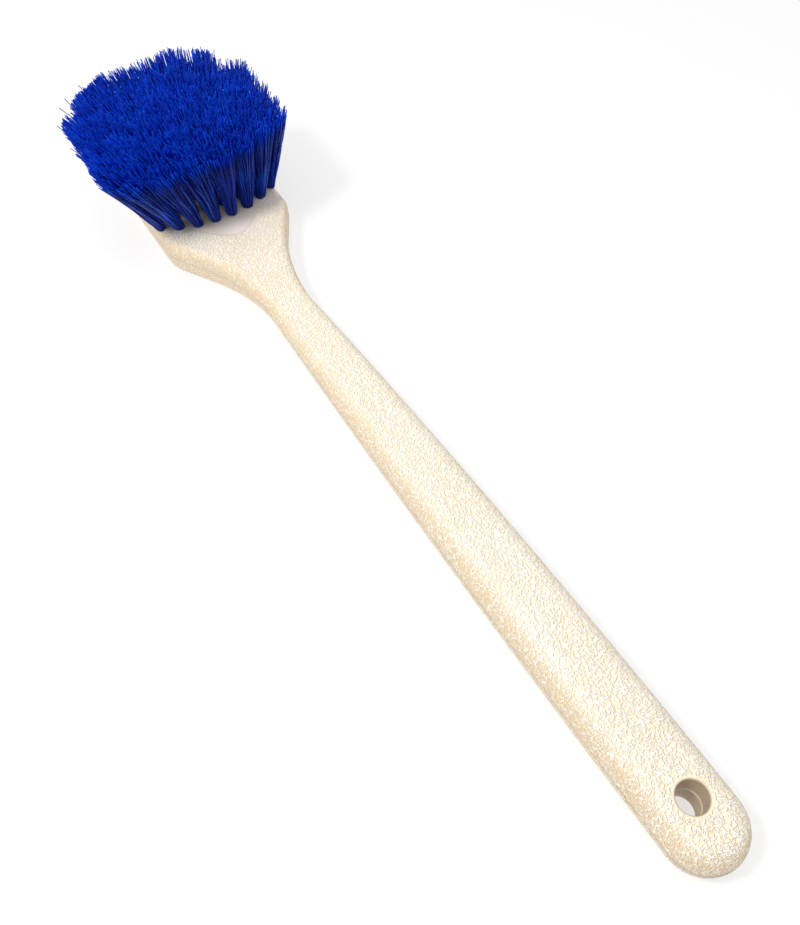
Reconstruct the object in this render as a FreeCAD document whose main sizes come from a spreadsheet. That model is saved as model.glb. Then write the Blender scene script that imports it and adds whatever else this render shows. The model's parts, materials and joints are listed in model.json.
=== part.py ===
import FreeCAD, Part
import Sketcher
import math
import os

# Wheel brush lying on its back: one foamed-plastic moulding (handle and head),
# 56 bristle tufts drilled into the head and one flat-wire anchor at the foot of each tuft.
# +Z is up and along the bristles, +X runs from the handle to the head,
# the origin is the middle of the length, on the surface the brush lies on.

SIZES = {
    # overall
    "overall_length": 508.0,
    "trim_height": 69.85,
    # hang hole
    "hole_from_end": 27.0,
    "hang_hole_radius": 6.6,
    "hang_rim_radius": 0.9,
    # handle: half width, underside, top and corner at its two ends, and how far each swells between
    "butt_half_width": 17.6,
    "butt_underside": 0.3,
    "butt_top": 22.9,
    "butt_corner": 10.0,
    "swell_half_width": 18.2,
    "swell_underside": -0.9,
    "swell_top": 27.6,
    "swell_corner": 12.4,
    "neck_to_tufts": 80.6,
    "neck_half_width": 11.9,
    "neck_underside": 3.3,
    "neck_top": 18.6,
    "neck_corner": 6.6,
    # flare from the neck to the head
    "flare_radius": 108.0,
    "flare_angle": 29.5,
    "shoulder_radius": 17.0,
    "crown_rise": 1.3,
    # head
    "head_half_width": 38.1,
    "head_thickness": 19.05,
    "head_edge_round": 5.5,
    "far_corner_radius": 28.0,
    # smooth bristle pad
    "pad_front_to_tufts": 18.5,
    "pad_apex_radius": 12.0,
    "pad_side_angle": 46.0,
    # drilling
    "tuft_hole_radius": 3.3,
    "tuft_hole_depth": 12.7,
    "far_edge_to_tufts": 11.91,
    "row_pitch": 11.07,
    "row_arc_radius": 54.9,
    "side_edge_to_tufts": 4.66,
    "side_lean": 15.0,
    "front_lean": 8.5,
    "far_lean": 4.5,
    # tufts and anchors
    "tuft_clearance": 0.1,
    "tuft_tip_gap": 0.7,
    "anchor_thickness": 0.4,
    "anchor_height": 2.4,
    "anchor_bite": 0.7,
    "anchor_clearance": 0.05,
    "anchor_above_floor": 1.6,
}

COLUMNS = 8
TUFTS_IN_COLUMN = [5, 7, 8, 8, 8, 8, 7, 5]
ROWS = max(TUFTS_IN_COLUMN)
HANDLE_STEPS = 11
FLARE_STEPS = 5
SHOULDER_STEPS = 3
FLAT = 0.01
OVERRUN = 1.2

doc = FreeCAD.newDocument("wheel_brush")
sheet = doc.addObject("Spreadsheet::Sheet", "sizes")
for line, (word, value) in enumerate(SIZES.items(), start=1):
    sheet.set(f"A{line}", word)
    sheet.set(f"B{line}", str(value))
    sheet.setAlias(f"B{line}", word)
doc.recompute()


def cell(expression):
    """An expression in which every size's word points at its cell of the sheet."""
    words = sorted(SIZES, key=len, reverse=True)
    pieces = []
    token = ""
    for letter in expression + " ":
        if letter.isalnum() or letter == "_":
            token += letter
            continue
        pieces.append(f"sizes.{token}" if token in words else token)
        pieces.append(letter)
        token = ""
    return "".join(pieces).strip()


def plane(body, role):
    """One of a body's own origin planes."""
    return [item for item in body.Origin.OriginFeatures if item.Role == role][0]


def sketch(body, name, role, offset=None):
    """A sketch on an origin plane of its body, moved along the plane's normal."""
    drawing = body.newObject("Sketcher::SketchObject", name)
    drawing.AttachmentSupport = [(plane(body, role), "")]
    drawing.MapMode = "FlatFace"
    if offset:
        drawing.setExpression("AttachmentOffset.Base.z", cell(offset))
    return drawing


def bind(drawing, constraint, expression):
    """Add a measured constraint and bind it to an expression."""
    index = drawing.addConstraint(constraint)
    name = f"size_{index}"
    drawing.renameConstraint(index, name)
    drawing.setExpression(f"Constraints.{name}", cell(expression))


def vector(x, y, z=0.0):
    return FreeCAD.Vector(x, y, z)


def value_of(expression):
    """What an expression comes to with the sheet's present sizes."""
    return float(sheet.evalExpression(cell(expression)))


# --- the moulding ---------------------------------------------------------

FIRST_ROW = f"(overall_length - far_edge_to_tufts - row_pitch * {ROWS - 1})"
NECK = f"({FIRST_ROW} - neck_to_tufts)"
STRAIGHT = "flare_radius * sin(flare_angle)"
STRAIGHT_WIDTH = "(neck_half_width + flare_radius * (1 - cos(flare_angle)))"
SHOULDER = (
    f"({NECK} + {STRAIGHT}"
    f" + (head_half_width - {STRAIGHT_WIDTH}) / tan(flare_angle)"
    " + shoulder_radius * tan(flare_angle / 2))"
)


def from_end(distance):
    """A place along X, given as its distance from the end of the handle."""
    return f"{distance} - overall_length / 2"


def joined(drawing, pairs, kind="Coincident"):
    """Tie the end of one edge to the start of the next, for each pair."""
    for first, second in pairs:
        drawing.addConstraint(Sketcher.Constraint(kind, first, 2, second, 1))


def arc(x, y, radius, start, end):
    """An arc of a circle about x, y, from one angle to another in degrees."""
    circle = Part.Circle(vector(x, y), vector(0, 0, 1), radius)
    return Part.ArcOfCircle(circle, math.radians(start), math.radians(end))


def section(body, name, station, half_width, underside, top, corner):
    """A rounded rectangle across the handle at a station, for the loft."""
    drawing = sketch(body, name, "YZ_Plane", from_end(station))
    wide, low, high, turn = [value_of(size) for size in (half_width, underside, top, corner)]
    flat = wide - turn
    drawing.addGeometry([
        Part.LineSegment(vector(-flat, low), vector(flat, low)),
        arc(flat, low + turn, turn, 270, 360),
        Part.LineSegment(vector(wide, low + turn), vector(wide, high - turn)),
        arc(flat, high - turn, turn, 0, 90),
        Part.LineSegment(vector(flat, high), vector(-flat, high)),
        arc(-flat, high - turn, turn, 90, 180),
        Part.LineSegment(vector(-wide, high - turn), vector(-wide, low + turn)),
        arc(-flat, low + turn, turn, 180, 270),
    ])
    joined(drawing, [(edge, (edge + 1) % 8) for edge in range(8)], "Tangent")
    for edge in (3, 5, 7):
        drawing.addConstraint(Sketcher.Constraint("Equal", 1, edge))
    drawing.addConstraint(Sketcher.Constraint("Horizontal", 0))
    bind(drawing, Sketcher.Constraint("Radius", 1, turn), corner)
    bind(drawing, Sketcher.Constraint("DistanceX", -1, 1, 2, 1, wide), half_width)
    bind(drawing, Sketcher.Constraint("DistanceX", 6, 1, -1, 1, wide), half_width)
    bind(drawing, Sketcher.Constraint("DistanceY", -1, 1, 4, 1, high), top)
    bind(drawing, Sketcher.Constraint("DistanceY", 0, 1, 4, 1, high - low), f"{top} - ({underside})")
    return drawing


block = doc.addObject("PartDesign::Body", "moulded_blank")
block.Label = "moulded_blank"


def handle_station(step):
    """A station of the handle: each size runs from the butt's to the neck's on a parabola."""
    share = f"({step} / {HANDLE_STEPS})"
    sizes = [
        f"butt_{size} * (1 - {share})^2 + 2 * swell_{size} * {share} * (1 - {share})"
        f" + neck_{size} * {share}^2"
        for size in ("half_width", "underside", "top", "corner")
    ]
    return f"handle_{step}", f"butt_half_width + ({NECK} - butt_half_width) * {share}", *sizes


def flare_station(name, station, half_width):
    """A station of the flare, its thickness eased from the neck's to the head's."""
    share = f"(({station} - {NECK}) / ({SHOULDER} - {NECK}))"
    underside = f"neck_underside * (1 + cos(180 * {share})) / 2"
    top = f"neck_top + (head_thickness - neck_top) * {share} + 4 * crown_rise * {share} * (1 - {share})"
    corner = f"neck_corner + (head_edge_round - neck_corner) * {share}"
    return name, station, half_width, underside, top, corner


# the loft runs through the handle, the neck, the flare and the rounded shoulder
stations = [handle_station(step) for step in range(HANDLE_STEPS + 1)]
for step in range(1, FLARE_STEPS + 1):
    angle = f"(flare_angle * {step} / {FLARE_STEPS})"
    stations.append(flare_station(
        f"flare_{step}",
        f"({NECK} + flare_radius * sin{angle})",
        f"neck_half_width + flare_radius * (1 - cos{angle})",
    ))
for step in range(SHOULDER_STEPS + 1):
    angle = f"(flare_angle * (1 - {step} / {SHOULDER_STEPS}))"
    stations.append(flare_station(
        f"shoulder_{step}",
        f"({SHOULDER} - shoulder_radius * sin{angle})",
        f"head_half_width - shoulder_radius * (1 - cos{angle})",
    ))

# the head: a flat block with rounded far corners and rounded long edges
head_plan = sketch(block, "head_plan", "XY_Plane")
near, far, side, turn = [
    value_of(size) for size in
    (from_end(SHOULDER), from_end("overall_length"), "head_half_width", "far_corner_radius")
]
head_plan.addGeometry([
    Part.LineSegment(vector(near, -side), vector(far - turn, -side)),
    arc(far - turn, turn - side, turn, 270, 360),
    Part.LineSegment(vector(far, turn - side), vector(far, side - turn)),
    arc(far - turn, side - turn, turn, 0, 90),
    Part.LineSegment(vector(far - turn, side), vector(near, side)),
    Part.LineSegment(vector(near, side), vector(near, -side)),
])
joined(head_plan, [(0, 1), (1, 2), (2, 3), (3, 4)], "Tangent")
joined(head_plan, [(4, 5), (5, 0)])
head_plan.addConstraint(Sketcher.Constraint("Equal", 1, 3))
for edge, direction in ((0, "Horizontal"), (2, "Vertical"), (4, "Horizontal"), (5, "Vertical")):
    head_plan.addConstraint(Sketcher.Constraint(direction, edge))
bind(head_plan, Sketcher.Constraint("Radius", 1, turn), "far_corner_radius")
bind(head_plan, Sketcher.Constraint("DistanceX", -1, 1, 0, 1, near), from_end(SHOULDER))
bind(head_plan, Sketcher.Constraint("DistanceX", -1, 1, 2, 1, far), from_end("overall_length"))
bind(head_plan, Sketcher.Constraint("DistanceY", 0, 1, -1, 1, side), "head_half_width")
bind(head_plan, Sketcher.Constraint("DistanceY", -1, 1, 4, 1, side), "head_half_width")

head = block.newObject("PartDesign::Pad", "head")
head.Profile = head_plan
head.setExpression("Length", cell("head_thickness"))
doc.recompute()


def edges_where(shape, test):
    """The names of a shape's edges that pass a test."""
    return [f"Edge{number}" for number, edge in enumerate(shape.Edges, start=1) if test(edge)]


def on_head_rim(edge):
    """Whether an edge lies in the top or bottom face of the head, away from the shoulder."""
    box = edge.BoundBox
    return box.ZLength < FLAT and box.XMax > value_of(from_end(SHOULDER)) + FLAT


head_round = block.newObject("PartDesign::Fillet", "head_round")
head_round.Base = (head, edges_where(head.Shape, on_head_rim))
head_round.setExpression("Radius", cell("head_edge_round"))

sections = [section(block, *station) for station in stations]
grip = block.newObject("PartDesign::AdditiveLoft", "grip")
grip.Profile = sections[0]
grip.Sections = sections[1:]
doc.recompute()

# the butt: half of the handle's first section, swung half a turn about an upright axis
butt_profile = sketch(block, "butt_profile", "YZ_Plane", from_end("butt_half_width"))
wide, low, high, turn = [
    value_of(size) for size in ("butt_half_width", "butt_underside", "butt_top", "butt_corner")
]
butt_profile.addGeometry([
    Part.LineSegment(vector(0, low), vector(wide - turn, low)),
    arc(wide - turn, low + turn, turn, 270, 360),
    Part.LineSegment(vector(wide, low + turn), vector(wide, high - turn)),
    arc(wide - turn, high - turn, turn, 0, 90),
    Part.LineSegment(vector(wide - turn, high), vector(0, high)),
    Part.LineSegment(vector(0, high), vector(0, low)),
])
joined(butt_profile, [(0, 1), (1, 2), (2, 3), (3, 4)], "Tangent")
joined(butt_profile, [(4, 5), (5, 0)])
butt_profile.addConstraint(Sketcher.Constraint("Equal", 1, 3))
butt_profile.addConstraint(Sketcher.Constraint("Horizontal", 0))
butt_profile.addConstraint(Sketcher.Constraint("Vertical", 5))
butt_profile.addConstraint(Sketcher.Constraint("PointOnObject", 5, 1, -2))
bind(butt_profile, Sketcher.Constraint("Radius", 1, turn), "butt_corner")
bind(butt_profile, Sketcher.Constraint("DistanceX", -1, 1, 2, 1, wide), "butt_half_width")
bind(butt_profile, Sketcher.Constraint("DistanceY", -1, 1, 5, 1, high), "butt_top")
bind(butt_profile, Sketcher.Constraint("DistanceY", 5, 2, 5, 1, high - low), "butt_top - butt_underside")

butt = block.newObject("PartDesign::Revolution", "butt")
butt.Profile = butt_profile
butt.ReferenceAxis = (butt_profile, ["V_Axis"])
butt.Angle = 180.0
doc.recompute()

# the smooth bristle pad, milled level behind a rounded V in front of the first tufts
pad_plan = sketch(block, "pad_plan", "XY_Plane", "head_thickness")
apex, turn, slant = [
    value_of(size) for size in
    (from_end(f"{FIRST_ROW} - pad_front_to_tufts"), "pad_apex_radius", "pad_side_angle")
]
slope = math.radians(slant)
touch = vector(apex + turn - turn * math.sin(slope), turn * math.cos(slope))
reach = value_of("head_half_width + head_edge_round")
end_x = touch.x + (reach - touch.y) / math.tan(slope)
back = value_of(from_end("overall_length + head_edge_round"))
pad_plan.addGeometry([
    arc(apex + turn, 0, turn, 90 + slant, 270 - slant),
    Part.LineSegment(vector(touch.x, -touch.y), vector(end_x, -reach)),
    Part.LineSegment(vector(end_x, -reach), vector(back, -reach)),
    Part.LineSegment(vector(back, -reach), vector(back, reach)),
    Part.LineSegment(vector(back, reach), vector(end_x, reach)),
    Part.LineSegment(vector(end_x, reach), touch),
])
joined(pad_plan, [(0, 1), (5, 0)], "Tangent")
joined(pad_plan, [(1, 2), (2, 3), (3, 4), (4, 5)])
for edge, direction in ((2, "Horizontal"), (3, "Vertical"), (4, "Horizontal")):
    pad_plan.addConstraint(Sketcher.Constraint(direction, edge))
pad_plan.addConstraint(Sketcher.Constraint("PointOnObject", 0, 3, -1))
pad_plan.addConstraint(Sketcher.Constraint("Symmetric", 2, 1, 4, 2, -1))
bind(pad_plan, Sketcher.Constraint("Radius", 0, turn), "pad_apex_radius")
bind(pad_plan, Sketcher.Constraint("DistanceX", -1, 1, 0, 3, apex + turn),
     from_end(f"{FIRST_ROW} - pad_front_to_tufts + pad_apex_radius"))
bind(pad_plan, Sketcher.Constraint("DistanceY", -1, 1, 4, 1, reach), "head_half_width + head_edge_round")
bind(pad_plan, Sketcher.Constraint("DistanceX", -1, 1, 3, 1, back),
     from_end("overall_length + head_edge_round"))
bind(pad_plan, Sketcher.Constraint("Angle", -1, 1, 5, 2, slope), "pad_side_angle * 1 deg")

pad = block.newObject("PartDesign::Pocket", "pad")
pad.Profile = pad_plan
pad.setExpression("Length", cell("crown_rise * 4"))
pad.Reversed = True
doc.recompute()

# the hang hole, straight through the butt, with a rounded rim on both sides
hole_plan = sketch(block, "hole_plan", "XY_Plane", "butt_top * 2")
hole_x, hole_radius = value_of(from_end("hole_from_end")), value_of("hang_hole_radius")
hole_plan.addGeometry(Part.Circle(vector(hole_x, 0), vector(0, 0, 1), hole_radius))
hole_plan.addConstraint(Sketcher.Constraint("PointOnObject", 0, 3, -1))
bind(hole_plan, Sketcher.Constraint("Radius", 0, hole_radius), "hang_hole_radius")
bind(hole_plan, Sketcher.Constraint("DistanceX", -1, 1, 0, 3, hole_x), from_end("hole_from_end"))

hang_hole = block.newObject("PartDesign::Pocket", "hang_hole")
hang_hole.Profile = hole_plan
hang_hole.Type = "ThroughAll"
doc.recompute()


def on_hole_rim(edge):
    """Whether an edge runs round the hang hole, at its top or bottom."""
    away = [abs(math.hypot(point.x - hole_x, point.y) - hole_radius) for point in edge.discretize(5)]
    return max(away) < FLAT and edge.BoundBox.ZLength < hole_radius


hang_rim = block.newObject("PartDesign::Fillet", "hang_rim")
hang_rim.Base = (hang_hole, edges_where(hang_hole.Shape, on_hole_rim))
hang_rim.setExpression("Radius", cell("hang_rim_radius"))


# --- the tufts and their anchors ------------------------------------------

REACH = "(trim_height - head_thickness)"
EDGE = "(head_half_width - side_edge_to_tufts)"
TURN = f"(2 * asin({EDGE} / row_arc_radius) / {COLUMNS - 1})"


def from_arc_centre(column, function):
    """The sine or cosine of a column's place on its row's arc."""
    return f"{function}({TURN} * {column - (COLUMNS - 1) / 2})"


def side_tan(column):
    """The sideways slope of a column's axes, which grows with its distance from the middle."""
    return f"tan(side_lean * row_arc_radius * {from_arc_centre(column, 'sin')} / {EDGE})"


def tuft_frame(row, column):
    """The drilled axis of one tuft: rows follow an arc, and the axes fan out from the middle."""
    x = from_end(f"{FIRST_ROW} + row_pitch * {row} + row_arc_radius * (1 - {from_arc_centre(column, 'cos')})")
    y = f"row_arc_radius * {from_arc_centre(column, 'sin')}"
    along = f"tan((front_lean + far_lean) * {row} / {ROWS - 1} - front_lean)"
    across = side_tan(column)
    lean = f"rotation(vector(-{across}; {along}; 0); atan(sqrt({along}^2 + {across}^2)))"
    return f"placement(vector({x}; {y}; head_thickness); {lean})"


# how far apart the tips are, along a row and between rows, where they are closest
COLUMN_TIPS = (
    f"(row_arc_radius * ({from_arc_centre(COLUMNS - 1, 'sin')} - {from_arc_centre(COLUMNS - 2, 'sin')})"
    f" + {REACH} * ({side_tan(COLUMNS - 1)} - {side_tan(COLUMNS - 2)}))"
)
ROW_TIPS = f"(row_pitch + {REACH} * (tan(front_lean) + tan(far_lean)) / {ROWS - 1})"
TIP_RADIUS = f"((min({COLUMN_TIPS}; {ROW_TIPS}) - tuft_tip_gap) / 2)"


def along_tuft(frame, x, y, z):
    """A place in a tuft's own frame, whose Z axis is the drilled axis."""
    return f"{frame} * placement(vector({x}; {y}; {z}); rotation(vector(0; 0; 1); 0))"


def primitive(kind, name, placement, **sizes):
    """A Part primitive whose sizes and placement are expressions."""
    item = doc.addObject(f"Part::{kind}", name)
    for size, expression in sizes.items():
        item.setExpression(size, cell(expression))
    item.setExpression("Placement", cell(placement))
    return item


def flat_wire(name, frame, spare):
    """A flat-wire anchor across the foot of a tuft, or the slit for it with some spare room."""
    length = f"(2 * (tuft_hole_radius + anchor_bite + {spare}))"
    thickness = f"(anchor_thickness + 2 * {spare})"
    height = f"(anchor_height + 2 * {spare})"
    foot = f"anchor_above_floor - tuft_hole_depth - {spare}"
    return primitive("Box", name, along_tuft(frame, f"-{length} / 2", f"-{thickness} / 2", foot),
                     Length=length, Width=thickness, Height=height)


def drilled_hole(name, frame):
    """The blind round hole of a tuft, run on above the pad so that it opens cleanly."""
    return primitive("Cylinder", name, along_tuft(frame, "0", "0", "-tuft_hole_depth"),
                     Radius="tuft_hole_radius", Height="tuft_hole_depth + tuft_hole_radius")


def bristle_tuft(name, frame, slit):
    """A tuft: a round foot in its hole, a cone that opens above it, trimmed level at the top."""
    foot = primitive("Cylinder", f"{name}_foot",
                     along_tuft(frame, "0", "0", "tuft_clearance - tuft_hole_depth"),
                     Radius="tuft_hole_radius - tuft_clearance",
                     Height="tuft_hole_depth + tuft_clearance")
    foot_radius = "(tuft_hole_radius - tuft_clearance)"
    cone = primitive("Cone", f"{name}_spread", along_tuft(frame, "0", "0", "2 * tuft_clearance"),
                     Radius1=foot_radius,
                     Radius2=f"{foot_radius} + ({TIP_RADIUS} - {foot_radius}) * {OVERRUN}",
                     Height=f"{REACH} * {OVERRUN}")
    untrimmed = doc.addObject("Part::Fuse", f"{name}_untrimmed")
    untrimmed.Base, untrimmed.Tool = foot, cone
    waste = doc.addObject("Part::Compound", f"{name}_waste")
    waste.Links = [trim_plane, slit]
    tuft = doc.addObject("Part::Cut", name)
    tuft.Base, tuft.Tool = untrimmed, waste
    tuft.Label = name
    return tuft


trim_plane = primitive(
    "Box", "above_trim",
    "placement(vector(-overall_length; -overall_length / 2; trim_height); rotation(vector(0; 0; 1); 0))",
    Length="2 * overall_length", Width="overall_length", Height="trim_height",
)

drills, anchors, tufts = [], [], []
for column, count in enumerate(TUFTS_IN_COLUMN):
    for row in range(count):
        label = f"row{row + 1}_{column + 1}"
        axis = tuft_frame(row, column)
        drills.append(drilled_hole(f"hole_{label}", axis))
        drills.append(flat_wire(f"slit_{label}", axis, "anchor_clearance"))
        anchors.append(flat_wire(f"anchor_{label}", axis, "0"))
        tufts.append(bristle_tuft(f"tuft_{label}", axis, drills[-1]))

drilling = doc.addObject("Part::Compound", "drilling")
drilling.Links = drills
handle_block = doc.addObject("Part::Cut", "handle_block")
handle_block.Base, handle_block.Tool = block, drilling
handle_block.Label = "handle_block"

staple_anchors = doc.addObject("Part::Compound", "staple_anchors")
staple_anchors.Links = anchors
staple_anchors.Label = "staple_anchors"

doc.recompute()

for item in doc.Objects:
    if {"Invalid", "Error"} & set(item.State):
        raise RuntimeError(f"{item.Label} did not build")

os.makedirs("parts", exist_ok=True)
for item in [handle_block, staple_anchors, *tufts]:
    if item.Shape.isNull() or not item.Shape.isValid():
        raise RuntimeError(f"{item.Label} has no valid shape")
    item.Shape.exportStep(f"parts/{item.Label}.step")
print(f"{len(tufts) + 2} nodes, block volume {handle_block.Shape.Volume:.0f} mm3")
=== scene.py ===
"""Wheel brush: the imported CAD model's looks, as one add-on run as a script.

The moulding is a rounded section carried along the brush and given a leather grain,
every tuft is a bundle of separate filaments, and the anchors keep their CAD shape.
"""

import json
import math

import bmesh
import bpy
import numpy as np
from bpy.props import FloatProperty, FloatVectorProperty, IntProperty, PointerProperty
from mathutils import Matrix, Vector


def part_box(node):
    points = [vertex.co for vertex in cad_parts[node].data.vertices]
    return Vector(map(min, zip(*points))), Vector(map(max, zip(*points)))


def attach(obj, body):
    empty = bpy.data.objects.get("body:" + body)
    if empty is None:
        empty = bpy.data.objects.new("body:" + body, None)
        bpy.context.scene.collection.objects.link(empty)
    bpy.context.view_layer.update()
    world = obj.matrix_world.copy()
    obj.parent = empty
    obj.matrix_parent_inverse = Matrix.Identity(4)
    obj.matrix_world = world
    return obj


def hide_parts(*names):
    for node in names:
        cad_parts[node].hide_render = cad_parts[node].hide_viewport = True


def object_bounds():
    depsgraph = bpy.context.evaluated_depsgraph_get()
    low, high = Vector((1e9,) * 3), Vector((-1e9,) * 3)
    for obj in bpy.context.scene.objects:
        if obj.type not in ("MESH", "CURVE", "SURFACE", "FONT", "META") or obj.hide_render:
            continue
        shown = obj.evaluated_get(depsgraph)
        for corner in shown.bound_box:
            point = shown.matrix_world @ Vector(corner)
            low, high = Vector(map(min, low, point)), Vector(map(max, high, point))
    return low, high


bl_info = {
    "name": "Wheel brush",
    "version": (1, 0, 0),
    "blender": (4, 5, 0),
    "location": "View3D > Sidebar > Wheel brush",
    "description": "Builds a long-handled wheel brush around its packed CAD model",
    "category": "Object",
}

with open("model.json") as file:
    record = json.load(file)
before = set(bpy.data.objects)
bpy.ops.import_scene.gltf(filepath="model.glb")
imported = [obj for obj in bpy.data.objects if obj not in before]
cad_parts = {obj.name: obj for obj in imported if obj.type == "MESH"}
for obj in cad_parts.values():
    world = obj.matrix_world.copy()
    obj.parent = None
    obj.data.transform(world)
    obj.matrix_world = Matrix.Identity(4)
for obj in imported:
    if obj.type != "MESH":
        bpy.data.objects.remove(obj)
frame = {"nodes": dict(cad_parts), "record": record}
CAD_BOX = [list(corner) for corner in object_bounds()]
BLOCK_LOW, BLOCK_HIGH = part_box("handle_block")
HANG_HOLE = next(mount for mount in frame["record"]["mounts"] if mount["name"] == "hang_hole")
TUFT_NODES = sorted(name for name in frame["nodes"] if name.startswith("tuft_"))
MM = 0.001


def length(name, millimetres, description):
    """A length property whose default is given in millimetres."""
    return FloatProperty(
        name=name, default=millimetres * MM, precision=5, subtype="DISTANCE", unit="LENGTH",
        description=description,
    )


def angle(name, degrees, description):
    """An angle property whose default is given in degrees."""
    return FloatProperty(name=name, default=math.radians(degrees), subtype="ANGLE", description=description)


def colour(name, red, green, blue, description):
    """A colour property."""
    return FloatVectorProperty(
        name=name, default=(red, green, blue, 1), subtype="COLOR", size=4, min=0, max=1, description=description,
    )


# --- what a user can change -------------------------------------------------


class BrushBlockSizes(bpy.types.PropertyGroup):
    """Sizes of the moulding: places along it are distances from the end of the handle."""

    overall: length("Overall length", (BLOCK_HIGH.x - BLOCK_LOW.x) / MM, "From the handle's end to the head's far end")
    head_half_width: length("Head half width", BLOCK_HIGH.y / MM, "Half the width of the flat head")
    butt_half_width: length("Butt half width", 17.6, "Half the width where the handle's end is rounded")
    butt_underside: length("Butt underside", 0.3, "Height of the underside at the end of the handle")
    butt_top: length("Butt top", 22.9, "Height of the top at the end of the handle")
    butt_corner: length("Butt corner", 10.0, "Rounding of the section at the end of the handle")
    swell_half_width: length("Swell half width", 18.2, "What the half width is drawn towards in mid handle")
    swell_underside: length("Swell underside", -0.9, "What the underside is drawn towards in mid handle")
    swell_top: length("Swell top", 27.6, "What the top is drawn towards in mid handle")
    swell_corner: length("Swell corner", 12.4, "What the rounding is drawn towards in mid handle")
    neck: length("Neck", 338.0, "Place of the neck")
    neck_half_width: length("Neck half width", 11.9, "Half the width of the neck")
    neck_underside: length("Neck underside", 3.3, "Height of the underside at the neck")
    neck_top: length("Neck top", 18.6, "Height of the top at the neck")
    neck_corner: length("Neck corner", 6.6, "Rounding of the section at the neck")
    flare_radius: length("Flare radius", 108.0, "Radius of the hollow curve from the neck to the head")
    flare_angle: angle("Flare angle", 29.5, "Angle of the flare's straight flank from the handle's line")
    shoulder_radius: length("Shoulder radius", 17.0, "Rounding of the head's shoulders in plan")
    crown_rise: length("Crown rise", 1.3, "How far the flare's top is crowned")
    head_thickness: length("Head thickness", 19.05, "Height of the bristle pad")
    head_edge_round: length("Head edge round", 5.5, "Rounding of the head's long edges")
    far_corner: length("Far corner radius", 28.0, "Radius of the head's far corners in plan")
    pad_front: length("Pad front", 400.1, "Place of the foremost point of the smooth bristle pad")
    pad_apex_radius: length("Pad apex radius", 12.0, "Rounding of the front of the bristle pad")
    pad_angle: angle("Pad angle", 46.0, "Angle of the pad's two front edges from the handle's line")
    hole_rim: length("Hole rim", 0.9, "Rounding of the hang hole's rims")
    seam: length("Seam", 326.0, "Where the moulding is divided; it is also divided half way there")
    grain_depth: length("Grain depth", 0.12, "How far the leather grain's ridges stand up")
    parting_bead: length("Parting bead", 0.3, "How far the parting bead stands out")


class BrushBristleSizes(bpy.types.PropertyGroup):
    """Sizes of the filaments and how they spread."""

    filaments: IntProperty(name="Filaments", default=160, description="Filaments in each tuft")
    thickness: length("Filament thickness", 0.52, "Diameter of one filament")
    foot_radius: length("Foot radius", 3.0, "Radius of the bundle where it leaves its hole")
    tip_radius: length("Tip radius", 8.0, "Radius of the bundle at its tips")
    set_sideways: length("Sideways set", 9.5, "How far use has bent the tips to the left")
    outer_splay: length("Outer splay", 6.0, "How much further the outermost tips spread")
    ragged: length("Ragged tips", 0.7, "How unevenly the tips are cut")
    strays: FloatProperty(
        name="Strays", default=0.03, subtype="FACTOR",
        description="Share of filaments that stand apart from their tuft",
    )


class BrushStageSettings(bpy.types.PropertyGroup):
    """The camera, the floor and the lights."""

    camera_at: FloatVectorProperty(
        name="Camera", default=(-0.25015, 0.14956, 0.37935), subtype="XYZ", unit="LENGTH",
        description="Place of the camera",
    )
    heading: angle("Heading", -33.52, "Direction of view in plan, from +X")
    dip: angle("Dip", 54.66, "How far the view looks down")
    roll: angle("Roll", 1.106, "Turn of the camera about its line of view")
    lens: FloatProperty(name="Lens", default=36.395, description="Focal length in millimetres")
    aperture: FloatProperty(name="Sensor width", default=36.0, description="Sensor width in millimetres")
    sky: FloatProperty(name="Sky strength", default=0.52, description="Strength of the even white surroundings")
    key_power: FloatProperty(name="Key light", default=5.1, description="Power of the large soft light overhead")
    fill_power: FloatProperty(name="Fill light", default=5.6, description="Power of the smaller light at the left")
    floor_size: length("Floor size", 40000.0, "Width of the plain floor")


class BrushColours(bpy.types.PropertyGroup):
    """Colours of the plastics and the wire."""

    cream: colour("Cream", 0.95, 0.84, 0.62, "Moulding between the ridges of its grain")
    # Ridge paints a highlight on the grain's ridges, the parting bead and the bore's witness line; it also tints the
    # clouds and the pad.
    ridge: colour("Ridge", 1.0, 0.98, 0.91, "Rubbed ridges of the grain")
    # Tan paints the shade beside the ridges and on the handle's sides, and also tints the specks at random.
    tan: colour("Tan", 0.63, 0.42, 0.19, "Dirt-tinted furrows beside the ridges")
    pad: colour("Pad", 0.86, 0.76, 0.65, "Smooth bristle pad")
    blue: colour("Bristle blue", 0.0, 0.003, 0.28, "Filaments")
    pale_blue: colour("Pale bristle blue", 0.004, 0.100, 0.72, "Lightest filaments")
    wire: colour("Anchor wire", 0.62, 0.61, 0.58, "Flattened wire of the tuft anchors")


GROUPS = {
    "brush_block": BrushBlockSizes,
    "brush_bristles": BrushBristleSizes,
    "brush_stage": BrushStageSettings,
    "brush_colours": BrushColours,
}


# --- patterns, meshes and materials -----------------------------------------


def ramp(value, low, high):
    """Rises smoothly from 0 at low to 1 at high."""
    t = np.clip((value - low) / (high - low), 0, 1)
    return t * t * (3 - 2 * t)


def mesh_from(points, faces, name):
    """A mesh from arrays of points and of equal-sided faces, smooth shaded."""
    mesh = bpy.data.meshes.new(name)
    mesh.from_pydata(points, [], faces)
    mesh.polygons.foreach_set("use_smooth", np.ones(len(mesh.polygons), dtype=bool))
    mesh.update()
    return mesh


def give_attribute(mesh, name, values):
    """Stores one number, or one vector, for each vertex."""
    values = np.asarray(values, dtype=np.float32)
    kind, field = ("FLOAT", "value") if values.ndim == 1 else ("FLOAT_VECTOR", "vector")
    attribute = mesh.attributes.new(name, kind, "POINT")
    attribute.data.foreach_set(field, values.ravel())


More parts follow.
